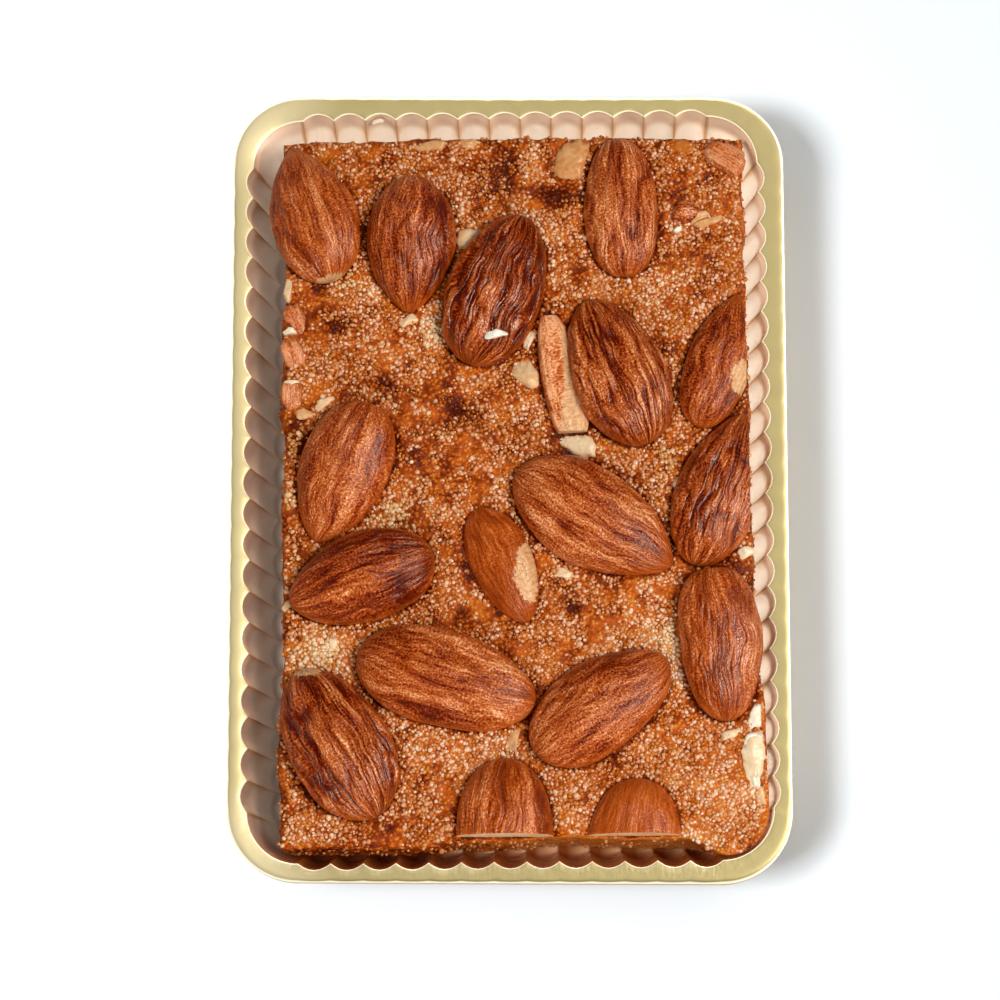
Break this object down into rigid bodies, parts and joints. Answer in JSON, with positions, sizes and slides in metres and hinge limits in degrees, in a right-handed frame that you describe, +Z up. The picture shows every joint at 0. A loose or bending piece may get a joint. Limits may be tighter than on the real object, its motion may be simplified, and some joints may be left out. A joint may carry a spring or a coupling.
{
  "type": "almond basema in a tray",
  "caption": "Rectangular slab of syrupy semolina cake set with whole and broken almonds, packed in a thin gold tray with fluted walls and a rounded rim.",
  "frame": {"origin": "middle of the tray's flat underside, on the surface that it stands on", "axes": "+Z up, +Y along the tray's length towards its back edge, +X across the tray to the right"},
  "size_m": [0.0714, 0.1029, 0.0183],
  "materials": {
    "gold_tray": "thin sheet with a metallic gold coat, satin and slightly streaked",
    "cake": "coarse pale grains in glossy amber syrup, browned in patches",
    "almond_skin": "ridged brown skin under a thin clear syrup",
    "almond_flesh": "cut cream flesh, satin"
  },
  "bodies": {
    "root": {"tray": "gold_tray", "slab": "cake", "almond_01": "almond_skin", "almond_02": "almond_skin", "almond_03": "almond_skin", "almond_04": "almond_skin", "almond_05": "almond_skin", "almond_06": "almond_skin", "almond_07": "almond_skin", "almond_08": "almond_skin", "almond_09": "almond_skin", "almond_10": "almond_skin", "almond_11": "almond_skin", "almond_12": "almond_skin", "almond_13": "almond_skin", "almond_14": "almond_skin", "almond_15": "almond_skin", "almond_16": "almond_skin", "almond_half": "almond_skin", "almond_sliver": "almond_skin", "chunk_back_right": "almond_skin", "chunk_brown": "almond_skin", "chunk_left_upper": "almond_skin", "chunk_left_middle": "almond_skin", "chunk_left_lower": "almond_skin", "flesh_wedge": "almond_flesh", "flesh_nugget": "almond_flesh", "flesh_back": "almond_flesh", "flesh_corner": "almond_flesh", "nugget_tan": "almond_flesh"}
  },
  "joints": []
}
